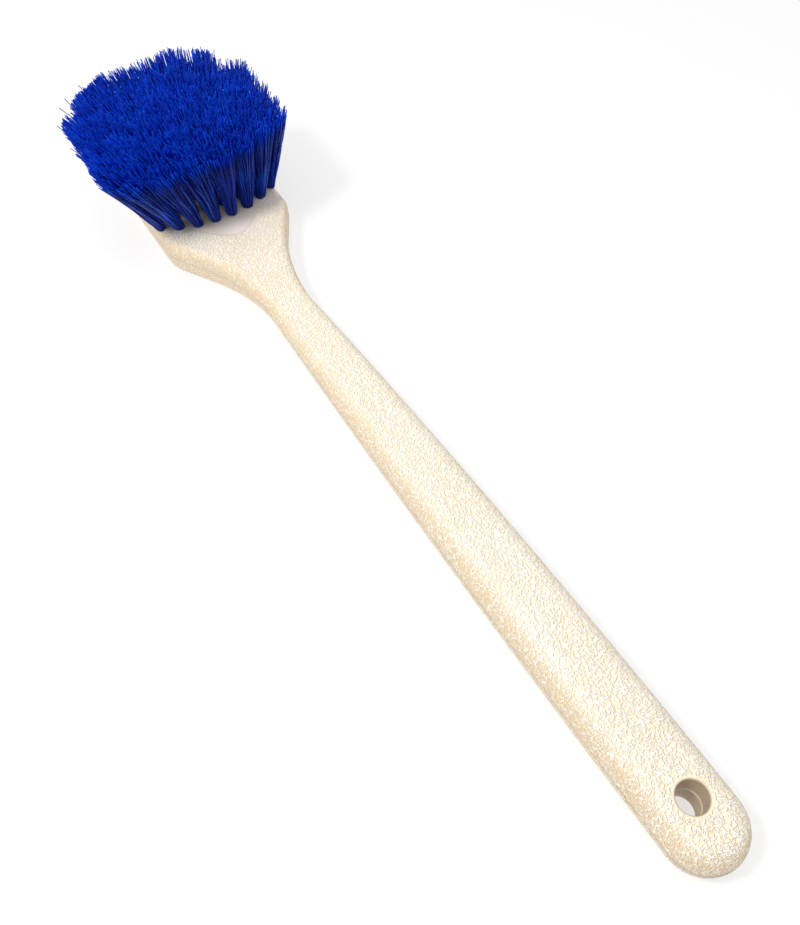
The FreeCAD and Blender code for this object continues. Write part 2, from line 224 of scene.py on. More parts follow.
def as_piece(mesh, material, slot, *nodes):
    """Puts a mesh in the scene as a piece that stands for CAD nodes."""
    piece = bpy.data.objects.new(mesh.name, mesh)
    bpy.context.scene.collection.objects.link(piece)
    mesh.materials.clear()
    mesh.materials.append(material)
    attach(piece, "root")
    if nodes:
        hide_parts(*nodes)
    return piece


class Nodes:
    """A node tree being built: nodes are added by type and wired by socket name."""

    def __init__(self, tree):
        self.tree = tree

    def node(self, kind, inputs=None, **settings):
        """Adds a node; an input that is a socket is wired, any other value is set on it."""
        made = self.tree.nodes.new(kind)
        for key, value in settings.items():
            setattr(made, key, value)
        for key, value in (inputs or {}).items():
            self.feed(made.inputs[key], value)
        return made

    def feed(self, socket, value):
        """Wires a socket, or sets its value."""
        if isinstance(value, bpy.types.NodeSocket):
            self.tree.links.new(value, socket)
        else:
            socket.default_value = value

    def noise(self, place, scale, detail=3.0, rough=0.5):
        """Fractal noise, as a factor."""
        return self.node(
            "ShaderNodeTexNoise", {"Vector": place, "Scale": scale, "Detail": detail, "Roughness": rough}
        ).outputs["Fac"]

    def remap(self, value, low, high, to_low=0.0, to_high=1.0):
        """A value from low..high to to_low..to_high, clamped."""
        return self.node(
            "ShaderNodeMapRange",
            {"Value": value, "From Min": low, "From Max": high, "To Min": to_low, "To Max": to_high},
        ).outputs["Result"]

    def mix(self, factor, first, second):
        """A colour between two colours."""
        return self.node("ShaderNodeMix", {0: factor, 6: first, 7: second}, data_type="RGBA").outputs[2]

    def math(self, operation, first, second):
        """One arithmetic step."""
        return self.node("ShaderNodeMath", {0: first, 1: second}, operation=operation).outputs[0]

    def vector(self, operation, inputs):
        """One step of vector arithmetic."""
        return self.node("ShaderNodeVectorMath", inputs, operation=operation).outputs[0]

    def leather(self, place, keep):
        """Ridges of leather grain from 0 to 1, faded by keep.

        They are the edges of random cells on coordinates that wander with noise, broken by gaps, and finer edges
        that come and go in patches. A width is a share of a cell, and a scale is cells in a metre.
        """
        wander = self.node("ShaderNodeTexNoise", {"Vector": place, "Scale": 420.0, "Detail": 2.0}).outputs["Color"]
        offset = self.vector("SUBTRACT", {0: wander, 1: (0.5, 0.5, 0.5)})
        reach = 4.4 * MM
        moved = self.vector("MULTIPLY_ADD", {0: offset, 1: (reach, reach, 0.0), 2: place})
        edges = []
        for scale, width in ((450.0, 0.15), (720.0, 0.17)):
            edge = self.node(
                "ShaderNodeTexVoronoi", {"Vector": moved, "Scale": scale}, feature="DISTANCE_TO_EDGE",
                voronoi_dimensions="2D",
            ).outputs["Distance"]
            edges.append(self.remap(edge, width * 0.35, width, 1.0, 0.0))
        patches = self.remap(self.noise(place, 260.0, 2.0), 0.46, 0.56)
        gaps = self.remap(self.noise(place, 500.0, 1.0), 0.30, 0.40)
        main = self.math("MULTIPLY", edges[0], gaps)
        fine = self.math("MULTIPLY", edges[1], patches)
        return self.math("MULTIPLY", self.math("MAXIMUM", main, fine), keep)

    def bump(self, height, distance, strength=1.0, normal=None):
        """Bump from a height in 0..1 and the height of 1 in metres."""
        inputs = {"Height": height, "Distance": distance, "Strength": strength}
        if normal is not None:
            inputs["Normal"] = normal
        return self.node("ShaderNodeBump", inputs).outputs["Normal"]


class Shader(Nodes):
    """A material being built."""

    def __init__(self, name):
        self.material = bpy.data.materials.get(name)
        self.made = self.material is not None
        if self.made:
            return
        self.material = bpy.data.materials.new(name)
        self.material.use_nodes = True
        super().__init__(self.material.node_tree)
        self.surface = self.tree.nodes["Principled BSDF"]

    def attribute(self, name, output="Fac"):
        """The value of a vertex attribute."""
        return self.node("ShaderNodeAttribute", attribute_name=name).outputs[output]

    def place(self):
        """Object coordinates."""
        return self.node("ShaderNodeTexCoord").outputs["Object"]

    def set(self, **values):
        """Sets numbers directly on the shader's sockets, or wires them; underscores stand for spaces."""
        for name, value in values.items():
            self.feed(self.surface.inputs[name.replace("_", " ")], value)


def relief_modifier(piece):
    """Raises the leather grain: each vertex moves along its skin normal by the ridges that the material paints."""
    name = "leather_relief"
    group = bpy.data.node_groups.get(name)
    if group is None:
        group = bpy.data.node_groups.new(name, "GeometryNodeTree")
        group.interface.new_socket("Geometry", in_out="INPUT", socket_type="NodeSocketGeometry")
        group.interface.new_socket("Geometry", in_out="OUTPUT", socket_type="NodeSocketGeometry")
        nodes = Nodes(group)
        given = nodes.node("NodeGroupInput").outputs["Geometry"]
        fields = []
        for attribute, kind in (("unrolled", "FLOAT_VECTOR"), ("keep", "FLOAT"), ("skin", "FLOAT_VECTOR")):
            node = nodes.node("GeometryNodeInputNamedAttribute", {"Name": attribute}, data_type=kind)
            fields.append(node.outputs["Attribute"])
        depth = nodes.math("MULTIPLY", nodes.leather(*fields[:2]), bpy.context.scene.brush_block.grain_depth)
        lift = nodes.vector("SCALE", {0: fields[2], "Scale": depth})
        raised = nodes.node("GeometryNodeSetPosition", {"Geometry": given, "Offset": lift}).outputs["Geometry"]
        nodes.node("NodeGroupOutput", {"Geometry": raised})
    piece.modifiers.new(name, "NODES").node_group = group


# Painted shade: a darker bore, and dark lines beside the parting bead.
BORE_SHADE_TINT = (0.42, 0.34, 0.25, 1)
FURROW_SHADE_TINT = (0.50, 0.33, 0.17, 1)


def plastic_material():
    """Cream moulded plastic with ridges pale as a painted highlight, painted tan shade beside them and a smooth greyer
    pad.

    Clouds of tint, specks and fine pebbling lie over all of it.
    """
    colours = bpy.context.scene.brush_colours
    cream, ridge, tan = tuple(colours.cream), tuple(colours.ridge), tuple(colours.tan)
    shader = Shader("moulded_plastic")
    if shader.made:
        return shader.material
    place = shader.place()
    unrolled = shader.attribute("unrolled", "Vector")
    keep = shader.attribute("keep")
    grain = shader.leather(unrolled, keep)
    # Painted shade: the grain moved a little to one side, less the grain itself, marks the tan side of each ridge.
    beside = shader.vector("ADD", {0: unrolled, 1: (0.26 * MM, 0.30 * MM, 0.0)})
    shade = shader.math("SUBTRACT", shader.leather(beside, keep), grain)
    smooth = shader.attribute("smooth")
    clouds = shader.noise(place, 55.0, 4.0)
    specks = shader.noise(place, 900.0, 3.0)
    painted_top_light = shader.attribute("painted_top_light")
    base = shader.mix(shader.remap(clouds, 0.35, 0.65, 0.0, 0.5), cream, ridge)
    base = shader.mix(shader.remap(specks, 0.54, 0.72, 0.0, 0.3), base, tan)
    # Painted shade: tan on one side of each ridge.
    base = shader.mix(shader.remap(shade, 0.05, 0.7, 0.0, 0.95), base, tan)
    # Painted shade: tan over the handle's sides, in a band wider on the +Y side, sparing the tops that face up.
    base = shader.mix(shader.remap(painted_top_light, 0.0, 1.0, 0.62, 0.0), base, tan)
    # Painted highlight: the grain's ridges pale, palest on the tops that face up.
    pale = shader.remap(painted_top_light, 0.0, 1.0, 0.6, 1.0)
    base = shader.mix(shader.math("MULTIPLY", shader.remap(grain, 0.1, 0.9), pale), base, ridge)
    pad = shader.mix(shader.remap(clouds, 0.3, 0.7, 0.0, 0.3), tuple(colours.pad), ridge)
    base = shader.mix(smooth, base, pad)
    # Painted shade darkens the bore.
    base = shader.mix(shader.math("MULTIPLY", shader.attribute("bore"), 0.6), base, BORE_SHADE_TINT)
    # Painted shade: dark lines beside the parting bead.
    base = shader.mix(shader.math("MULTIPLY", shader.attribute("furrow_shade"), 0.75), base, FURROW_SHADE_TINT)
    # Painted highlight on the parting bead and the bore's witness line.
    base = shader.mix(shader.attribute("bead"), base, ridge)
    shader.set(Base_Color=base, Roughness=shader.remap(specks, 0.3, 0.7, 0.38, 0.52))
    shader.set(IOR=1.5, Subsurface_Weight=0.1, Subsurface_Radius=(0.9, 0.6, 0.35), Subsurface_Scale=0.0015)
    pebbles = shader.noise(place, 2600.0, 2.0)
    calm = shader.remap(smooth, 0.0, 1.0, 1.0, 0.25)
    normal = shader.bump(shader.math("MULTIPLY", pebbles, calm), 0.06 * MM, 0.8)
    normal = shader.bump(shader.math("MULTIPLY", specks, calm), 0.15 * MM, 0.6, normal)
    normal = shader.bump(grain, 0.16 * MM, 1.0, normal)
    shader.set(Normal=normal)
    return shader.material


CLUMP_BLUE = (0.0, 0.002, 0.14, 1)
# Painted shade colours: deep in the field at the feet, and in the band under the tips.
FOOT_SHADE_BLUE = (0.0, 0.002, 0.10, 1)
UNDER_TIP_SHADE_BLUE = (0.0, 0.001, 0.10, 1)
TIP_BLUE = (0.002, 0.035, 0.62, 1)


def bristle_material():
    """Glossy blue nylon, finely streaked, each filament in its own shade.

    A filament is darker at its foot and in a band under its tip, painted shade deep in the field and between the tips,
    and its cut end is paler. Soft clumps of the bristle field are darker.
    """
    colours = bpy.context.scene.brush_colours
    shader = Shader("nylon_filament")
    if shader.made:
        return shader.material
    place = shader.place()
    along = shader.attribute("along")
    base = shader.mix(shader.attribute("shade"), tuple(colours.blue), tuple(colours.pale_blue))
    clumps = shader.remap(shader.noise(place, 75.0, 3.0, 0.6), 0.38, 0.60, 0.65, 0.0)
    base = shader.mix(clumps, base, CLUMP_BLUE)
    # Painted shade: darker near the foot, deep in the bristle field.
    base = shader.mix(shader.remap(along, 0.05, 0.45, 0.25, 0.0), base, FOOT_SHADE_BLUE)
    # Painted shade: a dark band under the tips, seen in the gaps between them.
    under_tip_shade = shader.math("MULTIPLY", shader.remap(along, 0.4, 0.8), shader.remap(along, 0.8, 0.96, 0.4, 0.0))
    base = shader.mix(under_tip_shade, base, UNDER_TIP_SHADE_BLUE)
    base = shader.mix(shader.remap(along, 0.96, 1.0, 0.0, 0.5), base, TIP_BLUE)
    streaks = shader.noise(place, 1400.0, 2.0)
    shader.set(Base_Color=base, Roughness=shader.remap(streaks, 0.3, 0.7, 0.24, 0.38))
    shader.set(IOR=1.5, Specular_IOR_Level=0.22, Specular_Tint=(0.2, 0.4, 1.0, 1))
    shader.set(Normal=shader.bump(streaks, 0.04 * MM, 0.5))
    return shader.material


def wire_material():
    """Brushed flattened wire: streaked roughness and shade, with a fine drawn bump."""
    colours = bpy.context.scene.brush_colours
    shader = Shader("anchor_steel")
    if shader.made:
        return shader.material
    stretched = shader.node(
        "ShaderNodeMapping", {"Vector": shader.place(), "Scale": (1.0, 0.08, 1.0)}
    ).outputs["Vector"]
    streaks = shader.noise(stretched, 3000.0, 4.0)
    dull = shader.mix(shader.remap(streaks, 0.3, 0.7), tuple(colours.wire), (0.42, 0.41, 0.40, 1))
    shader.set(Base_Color=dull, Metallic=1.0, Roughness=shader.remap(streaks, 0.3, 0.7, 0.25, 0.45))
    shader.set(Normal=shader.bump(streaks, 0.03 * MM, 0.6))
    return shader.material


# --- the moulding -------------------------------------------------------------


class Moulding:
    """The moulding's outline and surfaces as formulas; places along it are metres from the handle's end."""

    def __init__(self, sizes):
        self.s = sizes
        self.straight = sizes.neck + sizes.flare_radius * math.sin(sizes.flare_angle)
        flank = sizes.neck_half_width + sizes.flare_radius * (1 - math.cos(sizes.flare_angle))
        turn = sizes.head_half_width - sizes.shoulder_radius * (1 - math.cos(sizes.flare_angle))
        self.arc = self.straight + (turn - flank) / math.tan(sizes.flare_angle)
        self.flank = flank
        self.shoulder = self.arc + sizes.shoulder_radius * math.sin(sizes.flare_angle)

    def swept(self, x, butt, swell, neck):
        """A handle size: the quadratic curve from butt to neck drawn towards swell."""
        share = np.clip((x - self.s.butt_half_width) / (self.s.neck - self.s.butt_half_width), 0, 1)
        return butt * (1 - share) ** 2 + 2 * swell * share * (1 - share) + neck * share**2

    def flare(self, x):
        """Share of the way from the neck to the shoulder."""
        return np.clip((x - self.s.neck) / (self.shoulder - self.s.neck), 0, 1)

    def half_width(self, x):
        """Half the width: round butt, drawn handle, hollow flare, straight flank, shoulder arc, far corners."""
        s = self.s
        handle = self.swept(x, s.butt_half_width, s.swell_half_width, s.neck_half_width)
        off = np.clip(s.butt_half_width - x, 0, s.butt_half_width)
        handle = np.where(x < s.butt_half_width, np.sqrt(s.butt_half_width**2 - off**2), handle)
        bend = np.clip(x - s.neck, 0, s.flare_radius * math.sin(s.flare_angle))
        hollow = s.neck_half_width + s.flare_radius - np.sqrt(s.flare_radius**2 - bend**2)
        flank = self.flank + (x - self.straight) * math.tan(s.flare_angle)
        short = np.clip(self.shoulder - x, 0, s.shoulder_radius)
        shoulder = s.head_half_width - s.shoulder_radius + np.sqrt(s.shoulder_radius**2 - short**2)
        past = np.clip(x - (s.overall - s.far_corner), 0, s.far_corner)
        head = s.head_half_width - s.far_corner + np.sqrt(s.far_corner**2 - past**2)
        return np.select(
            [x <= s.neck, x <= self.straight, x <= self.arc, x <= self.shoulder],
            [handle, hollow, flank, shoulder], head,
        )

    def section(self, x):
        """Height of the underside and of the top, and the rounding, of the section at x."""
        s = self.s
        share = self.flare(x)
        low = np.where(
            x < s.neck, self.swept(x, s.butt_underside, s.swell_underside, s.neck_underside),
            s.neck_underside * (1 + np.cos(math.pi * share)) / 2,
        )
        high = np.where(
            x < s.neck, self.swept(x, s.butt_top, s.swell_top, s.neck_top),
            s.neck_top + (s.head_thickness - s.neck_top) * share + 4 * s.crown_rise * share * (1 - share),
        )
        corner = np.where(
            x < s.neck, self.swept(x, s.butt_corner, s.swell_corner, s.neck_corner),
            s.neck_corner + (s.head_edge_round - s.neck_corner) * share,
        )
        return low, high, corner

    def from_centres(self, x, y):
        """How far a place lies behind the butt's centre, past the far corners' centres, and out to the side of them."""
        s = self.s
        behind = np.clip(s.butt_half_width - x, 0, None)
        past = np.clip(x - (s.overall - s.far_corner), 0, None)
        return behind, past, np.clip(np.abs(y) - (s.head_half_width - s.far_corner), 0, None)

    def inset(self, x, y):
        """Distance of a place in plan from the outline."""
        s = self.s
        behind, past, over = self.from_centres(x, y)
        butt = s.butt_half_width - np.hypot(behind, y)
        far = s.far_corner - np.hypot(past, over)
        inset = np.where(x < s.butt_half_width, butt, self.half_width(x) - np.abs(y))
        return np.clip(np.where(past > 0, far, inset), 0, None)

    def outward(self, x, y):
        """Direction in plan, away from the middle, in which the outline is nearest."""
        behind, past, over = self.from_centres(x, y)
        over = np.where(past > 0, over, np.where(behind > 0, np.abs(y), 1.0))
        way = np.stack([past - behind, np.copysign(over, y)], axis=-1)
        return way / (np.linalg.norm(way, axis=-1)[..., None] + 1e-12)

    def unroll(self, x, y, z):
        """Places of the surface laid out flat.

        Where the rounding and the wall take the surface down, the plan is stretched outwards to the true length.
        The two mould halves are laid out side by side, half a metre apart.
        """
        low, high, corner = self.section(x)
        short = (corner - np.minimum(self.inset(x, y), corner)) / corner
        over = corner * (np.arcsin(np.clip(short, 0, 1)) - short)
        upper = z > (low + high) / 2
        wall = np.where(upper, high - corner - z, z - low - corner)
        over = over + np.where(self.inset(x, y) < 1e-6, np.clip(wall, 0, None), 0)
        flat = np.stack([x, y + 0, np.zeros_like(x)], axis=-1)
        flat[:, :2] += self.outward(x, y) * over[:, None]
        flat[:, 1] += np.where(upper, 0.5, 0)
        return flat

    def dip(self, x, y):
        """How far the rounding takes the surface in from the flat of its section."""
        corner = self.section(x)[2]
        short = corner - np.minimum(self.inset(x, y), corner)
        return corner - np.sqrt(np.clip(corner**2 - short**2, 0, None))

    def pad(self, x, y):
        """How far a place lies inside the smooth pad: behind two slanting edges that meet in a rounded point."""
        s = self.s
        sine, cosine = math.sin(s.pad_angle), math.cos(s.pad_angle)
        centre = s.pad_front + s.pad_apex_radius
        edges = (x - centre) * sine - np.abs(y) * cosine + s.pad_apex_radius
        round_point = s.pad_apex_radius - np.hypot(x - centre, y)
        in_point = (centre - x) * cosine > np.abs(y) * sine
        return np.where(in_point, round_point, edges)


STATION_STEP = 0.56 * MM
TOP_STEPS = 128
FINE_STEPS = 401
SAME_PLACE = 1e-7
# Height from mid wall of the painted shade lines beside the parting bead.
FURROW_SHADE_AT = 0.45 * MM
WITNESS_LINE = 0.35 * MM


def stations(shape, start, end, step):
    """Places of the sections: even along the moulding, and closing up as sines round the butt and the far edge."""
    s = shape.s
    even_from, even_to = max(start, s.butt_half_width), min(end, s.overall - s.head_edge_round)
    places = [np.linspace(even_from, even_to, int(round((even_to - even_from) / step)) + 1)]
    if start < s.butt_half_width:
        turn = np.linspace(math.pi / 2, 0, int(round(s.butt_half_width * math.pi / 2 / step)) + 1)[:-1]
        places.insert(0, s.butt_half_width * (1 - np.sin(turn)))
    if end > s.overall - s.head_edge_round:
        turn = np.linspace(0, math.pi / 2, int(round(s.head_edge_round * math.pi / 2 / step)) + 1)[1:]
        places.append(s.overall - s.head_edge_round * (1 - np.sin(turn)))
    return np.concatenate(places)


def across(shape, x):
    """Places across each section, evenly spaced along its curved top: even shares of a fine curve's length."""
    fine = np.sin(np.linspace(-1, 1, FINE_STEPS) * math.pi / 2)
    y = fine * shape.half_width(x)[:, None]
    z = -shape.dip(np.repeat(x[:, None], FINE_STEPS, axis=1), y)
    run = np.cumsum(np.hypot(np.diff(y, axis=1), np.diff(z, axis=1)), axis=1)
    run = np.concatenate([np.zeros((len(x), 1)), run], axis=1)
    shares = np.linspace(0, run[:, -1], TOP_STEPS + 1).T
    rows = np.array([np.interp(*section) for section in zip(shares, run, y)])
    return (rows - rows[:, ::-1]) / 2


def ring_round_hole(x, y, centre, radius):
    """Moves a square block of the grid outwards from a round hole, and leaves out the cells of its inner half.

    Squares of cells round the centre turn gradually into circles: a point's shares p and q along and across its
    square become sines and cosines of an eighth of a turn. Gives the cells that stay, and the rows and the columns
    of the inner square.
    """
    mid = TOP_STEPS // 2
    i0 = int(np.argmin(np.abs(x[:, mid] - (centre - 2 * radius))))
    i1 = int(np.argmin(np.abs(x[:, mid] - (centre + 2 * radius))))
    i1 -= (i1 - i0) % 2
    middle = (i0 + i1) // 2
    half_i = (i1 - i0) // 2
    half_j = int(np.sum(np.abs(y[middle]) <= 1.6 * radius)) // 2
    j0, j1 = mid - half_j, mid + half_j
    inner_i, inner_j = half_i // 2, half_j // 2
    rows, columns = np.meshgrid(np.arange(i0, i1 + 1), np.arange(j0, j1 + 1), indexing="ij")
    p, q = rows - middle, columns - mid
    out_i = np.clip((np.abs(p) - inner_i) / (half_i - inner_i), 0, 1)
    out_j = np.clip((np.abs(q) - inner_j) / (half_j - inner_j), 0, 1)
    out = np.maximum(out_i, out_j)
    level_i = inner_i + (half_i - inner_i) * out
    level_j = inner_j + (half_j - inner_j) * out
    u, v = np.clip(p / level_i, -1, 1), np.clip(q / level_j, -1, 1)
    beside = np.abs(u) >= np.abs(v)
    along = np.where(beside, np.sign(u) * np.cos(v * math.pi / 4), np.sin(u * math.pi / 4))
    sideways = np.where(beside, np.sin(v * math.pi / 4), np.sign(v) * np.cos(u * math.pi / 4))
    ease = out[..., None] ** 1.3
    circle = np.stack([centre + radius * along, radius * sideways], axis=-1)
    square = np.stack([x[rows, columns], y[rows, columns]], axis=-1)
    moved = circle * (1 - ease) + square * ease
    x[rows, columns], y[rows, columns] = moved[..., 0], moved[..., 1]
    rows, columns = (middle - inner_i, middle + inner_i), (mid - inner_j, mid + inner_j)
    keep = np.ones((x.shape[0] - 1, TOP_STEPS), dtype=bool)
    keep[slice(*rows), slice(*columns)] = False
    return keep, rows, columns


def square_loop(rows, columns):
    """Row and column of every grid point round the edge of a square of cells, in order."""
    (a, b), (c, d) = rows, columns
    i = np.concatenate([np.arange(a, b), np.full(d - c, b), np.arange(b, a, -1), np.full(d - c, a)])
    j = np.concatenate([np.full(b - a, c), np.arange(c, d), np.full(b - a, d), np.arange(d, c, -1)])
    return i, j


def quads(grid, keep=None, flip=False):
    """Faces of a grid of point numbers."""
    a, b, c, d = grid[:-1, :-1], grid[1:, :-1], grid[1:, 1:], grid[:-1, 1:]
    faces = np.stack([a, d, c, b] if flip else [a, b, c, d], axis=-1)
    return faces[keep] if keep is not None else faces.reshape(-1, 4)


def moulding_mesh(shape, start, end, step, name):
    """One length of the moulding as a closed surface.

    Every section is an upper and a lower curve, each the flat of the section less the circular rounding at the
    distance from the outline, joined by an upright wall. Between the stations the sizes follow the formulas of
    Moulding. The hang hole is a ring of circles that go over a rounded rim and down a bore with a witness line.
    """
    s = shape.s
    stops = stations(shape, start, end, step)
    y = across(shape, stops)
    x = np.repeat(stops[:, None], TOP_STEPS + 1, axis=1)
    hole_at = HANG_HOLE["pos_m"][0] - BLOCK_LOW.x
    hole_radius = HANG_HOLE["dims"]["r_mm"] * MM
    has_hole = start < hole_at < end
    keep = np.ones((len(stops) - 1, TOP_STEPS), dtype=bool)
    if has_hole:
        keep, hole_rows, hole_columns = ring_round_hole(x, y, hole_at, hole_radius + s.hole_rim)
    low, high, corner = shape.section(x)
    dip = shape.dip(x, y)
    top, bottom = high - dip, low + dip
    flat = ramp(shape.pad(x, y), -0.6 * MM, 0.6 * MM)
    top = top + (np.minimum(top, s.head_thickness) - top) * flat
    above, below = np.stack([x, y, top], axis=-1), np.stack([x, y, bottom], axis=-1)
    parts = []

    def add(places):
        """Adds an array of points and gives their numbers."""
        first = sum(map(len, parts))
        parts.append(places.reshape(-1, 3))
        return np.arange(first, first + len(parts[-1])).reshape(places.shape[:-1])

    upper, lower = add(above), add(below)
    faces = [quads(upper, keep), quads(lower, keep, flip=True)]
    count = len(stops)
    half_wall = (high - low)[:, 0] / 2 - corner[:, 0]
    near = np.minimum(2 * FURROW_SHADE_AT / half_wall, 0.6)
    next_to = np.minimum(FURROW_SHADE_AT / half_wall, 0.3)
    nought = np.zeros(count)
    share = np.stack([-(1 + near) / 2, -near, -next_to, nought, next_to, near, (1 + near) / 2], axis=1) / 2 + 0.5
    walls = []
    for column, flip in ((0, False), (TOP_STEPS, True)):
        rows = below[:, column, None] + (above - below)[:, column, None] * share[:, :, None]
        wall = np.concatenate([lower[:, column, None], add(rows), upper[:, column, None]], axis=1)
        walls.append(wall)
        faces.append(quads(wall, flip=flip))
    for row, flip in ((0, True), (count - 1, False)):
        inner = below[row, 1:-1, None] + (above - below)[row, 1:-1, None] * share[row][None, :, None]
        cap = np.concatenate([lower[row, 1:-1, None], add(inner), upper[row, 1:-1, None]], axis=1)
        cap = np.concatenate([walls[0][row][None], cap, walls[1][row][None]], axis=0)
        faces.append(quads(cap, flip=flip))
    if has_hole:
        i, j = square_loop(hole_rows, hole_columns)
        centre = np.array([hole_at, 0.0])
        out = above[i, j, :2] - centre
        out /= np.linalg.norm(out, axis=1)[:, None]
        z_top, z_bottom = above[i, j, 2], below[i, j, 2]
        turn = np.linspace(0, math.pi / 2, 7)[1:]
        rim = s.hole_rim
        radii = [hole_radius + rim * (1 - math.sin(a)) for a in turn]
        heights = [z_top - rim * (1 - math.cos(a)) for a in turn]
        for down in (0.2, 0.4, 0.46, 0.49, 0.51, 0.54, 0.6, 0.8):
            radii.append(hole_radius - (WITNESS_LINE if down in (0.49, 0.51) else 0.0))
            heights.append((z_top - rim) * (1 - down) + (z_bottom + rim) * down)
        radii += radii[5::-1]
        heights += [z_bottom + rim * (1 - math.cos(a)) for a in turn[::-1]]
        rings = np.stack([np.column_stack([centre + out * r, h]) for r, h in zip(radii, heights)])
        bore = np.concatenate([upper[i, j][None], add(rings), lower[i, j][None]], axis=0)
        bore = np.concatenate([bore, bore[:, :1]], axis=1)
        faces.append(quads(bore, flip=True))
    points = np.concatenate(parts) + np.array([BLOCK_LOW.x, 0, 0])
    kept, corners = np.unique(np.concatenate(faces), return_inverse=True)
    mesh = mesh_from(points[kept], corners.reshape(-1, 4), name)
    work = bmesh.new()
    work.from_mesh(mesh)
    bmesh.ops.remove_doubles(work, verts=work.verts, dist=1e-6)
    bmesh.ops.recalc_face_normals(work, faces=work.faces)
    work.to_mesh(mesh)
    work.free()
    cuts = [cut for cut, tip in ((start, 0.0), (end, s.overall)) if cut != tip]
    sharpen_cuts(mesh, cuts)
    add_grain(shape, mesh, cuts)
    return mesh


def read(collection, field, size=1, kind=float):
    """One field of every item of a collection as an array."""
    values = np.empty(len(collection) * size, dtype=kind)
    collection.foreach_get(field, values)
    return values.reshape(-1, size) if size > 1 else values


def face_corners(mesh):
    """The vertex and the face of every face corner."""
    totals = read(mesh.polygons, "loop_total", kind=int)
    return read(mesh.loops, "vertex_index", kind=int), np.repeat(np.arange(len(totals)), totals)


def faces_in_cut(x, cut, corner_vertex, corner_face):
    """Which faces lie wholly in the plane of a cut: those with no corner off it."""
    return np.bincount(corner_face, np.abs(x[corner_vertex] - cut) > SAME_PLACE) == 0


def sharpen_cuts(mesh, cuts):
    """Marks as sharp the edges between a flat cut end and the skin: those with one face in the cut and one off it."""
    x = read(mesh.vertices, "co", 3)[:, 0] - BLOCK_LOW.x
    corner_vertex, corner_face = face_corners(mesh)
    corner_edge = read(mesh.loops, "edge_index", kind=int)
    sharp = np.zeros(len(mesh.edges), dtype=bool)
    for cut in cuts:
        in_cut = faces_in_cut(x, cut, corner_vertex, corner_face)
        sharp |= np.bincount(corner_edge, in_cut[corner_face], minlength=len(sharp)) == 1
    mesh.attributes.new("sharp_edge", "BOOLEAN", "EDGE").data.foreach_set("value", sharp)


def skin_normals(mesh, cuts, x):
    """Normals of the vertices from the areas and normals of their faces, leaving out the faces that lie in a cut."""
    corner_vertex, corner_face = face_corners(mesh)
    pull = read(mesh.polygons, "normal", 3) * read(mesh.polygons, "area")[:, None]
    for cut in cuts:
        pull = pull * ~faces_in_cut(x, cut, corner_vertex, corner_face)[:, None]
    normals = np.stack(
        [np.bincount(corner_vertex, pull[corner_face, k], minlength=len(x)) for k in range(3)], axis=1
    )
    return normals / (np.linalg.norm(normals, axis=1)[:, None] + 1e-15)


def add_grain(shape, mesh, cuts):
    """Raises the parting bead and stores what the relief and the material read at each vertex.

    The grain is kept except on the pad, in the bore, on its rim, on the bead and on cut ends, and it grows fainter
    towards the head. The bead and the painted shade lines beside it are bell curves of the height from mid wall.
    """
    s = shape.s
    points = read(mesh.vertices, "co", 3)
    x, y, z = points[:, 0] - BLOCK_LOW.x, points[:, 1], points[:, 2]
    normals = skin_normals(mesh, cuts, x)
    low, high, _ = shape.section(x)
    level = z - (low + high) / 2
    inset = shape.inset(x, y)
    smooth = ramp(shape.pad(x, y), -1.6 * MM, 1.8 * MM) * (level > 0) * ramp(inset, 0.2 * MM, 1.5 * MM)
    away = np.hypot(x + BLOCK_LOW.x - HANG_HOLE["pos_m"][0], y) - HANG_HOLE["dims"]["r_mm"] * MM - s.hole_rim
    keep = (1 - smooth) * ramp(away, -0.1 * MM, 0.9 * MM) * (1 - 0.3 * ramp(x, s.neck * 0.6, s.neck * 1.15))
    dip = shape.dip(x, y)
    on_skin = (inset < 1e-6) | (np.abs(high - dip - z) < 1 * MM) | (np.abs(low + dip - z) < 1e-6)
    for cut in cuts:
        keep = np.where((np.abs(x - cut) < SAME_PLACE) & ~on_skin, 0.0, keep)
    on_wall = inset < 0.05 * MM
    bead = np.exp(-((level / (0.2 * MM)) ** 2)) * on_wall
    # Painted shade: dark lines beside the bead.
    furrow_shade = np.exp(-(((np.abs(level) - FURROW_SHADE_AT) / (0.15 * MM)) ** 2)) * on_wall
    points = points + normals * (bead * s.parting_bead)[:, None]
    keep = keep * (1 - ramp(0.4 * MM - np.abs(level), 0, 0.2 * MM) * on_wall)
    # Painted shade darkens the bore.
    bore = 1 - ramp(away, -0.9 * MM, 0.3 * MM)
    # The witness line in the bore gets the bead's painted highlight.
    bead = np.maximum(bead, away < -s.hole_rim - 0.1 * MM)
    # Painted shade on the handle's sides, in a band wider on the +Y side; the tops that face up are left lit.
    side_shade_band = np.where(y > 0, 9 * MM, 3 * MM)
    painted_top_light = ramp(normals[:, 2], 0.4, 0.99) * (0.3 + 0.7 * ramp(inset / side_shade_band, 0, 1))
    mesh.vertices.foreach_set("co", points.ravel())
    stored = {
        "unrolled": shape.unroll(x, y, z), "keep": keep, "smooth": smooth, "bead": bead, "furrow_shade": furrow_shade,
        "bore": bore, "painted_top_light": painted_top_light, "skin": normals,
    }
    for name, values in stored.items():
        give_attribute(mesh, name, values)
    mesh.update()


# --- the tufts ----------------------------------------------------------------


def tuft_axis(node):
    """Foot and tip centres of a CAD tuft: the means of its points near the pad and near the trim."""
    cad = frame["nodes"][node]
    matrix = np.array(cad.matrix_world)
    points = read(cad.data.vertices, "co", 3) @ matrix[:3, :3].T + matrix[:3, 3]
    low, high = points[:, 2].min(), points[:, 2].max()
    near = 1 * MM
    foot = points[points[:, 2] < low + near].mean(axis=0)
    tip = points[points[:, 2] > high - near].mean(axis=0)
    pad = bpy.context.scene.brush_block.head_thickness
    return foot + (tip - foot) * (pad - foot[2]) / (tip[2] - foot[2]), tip


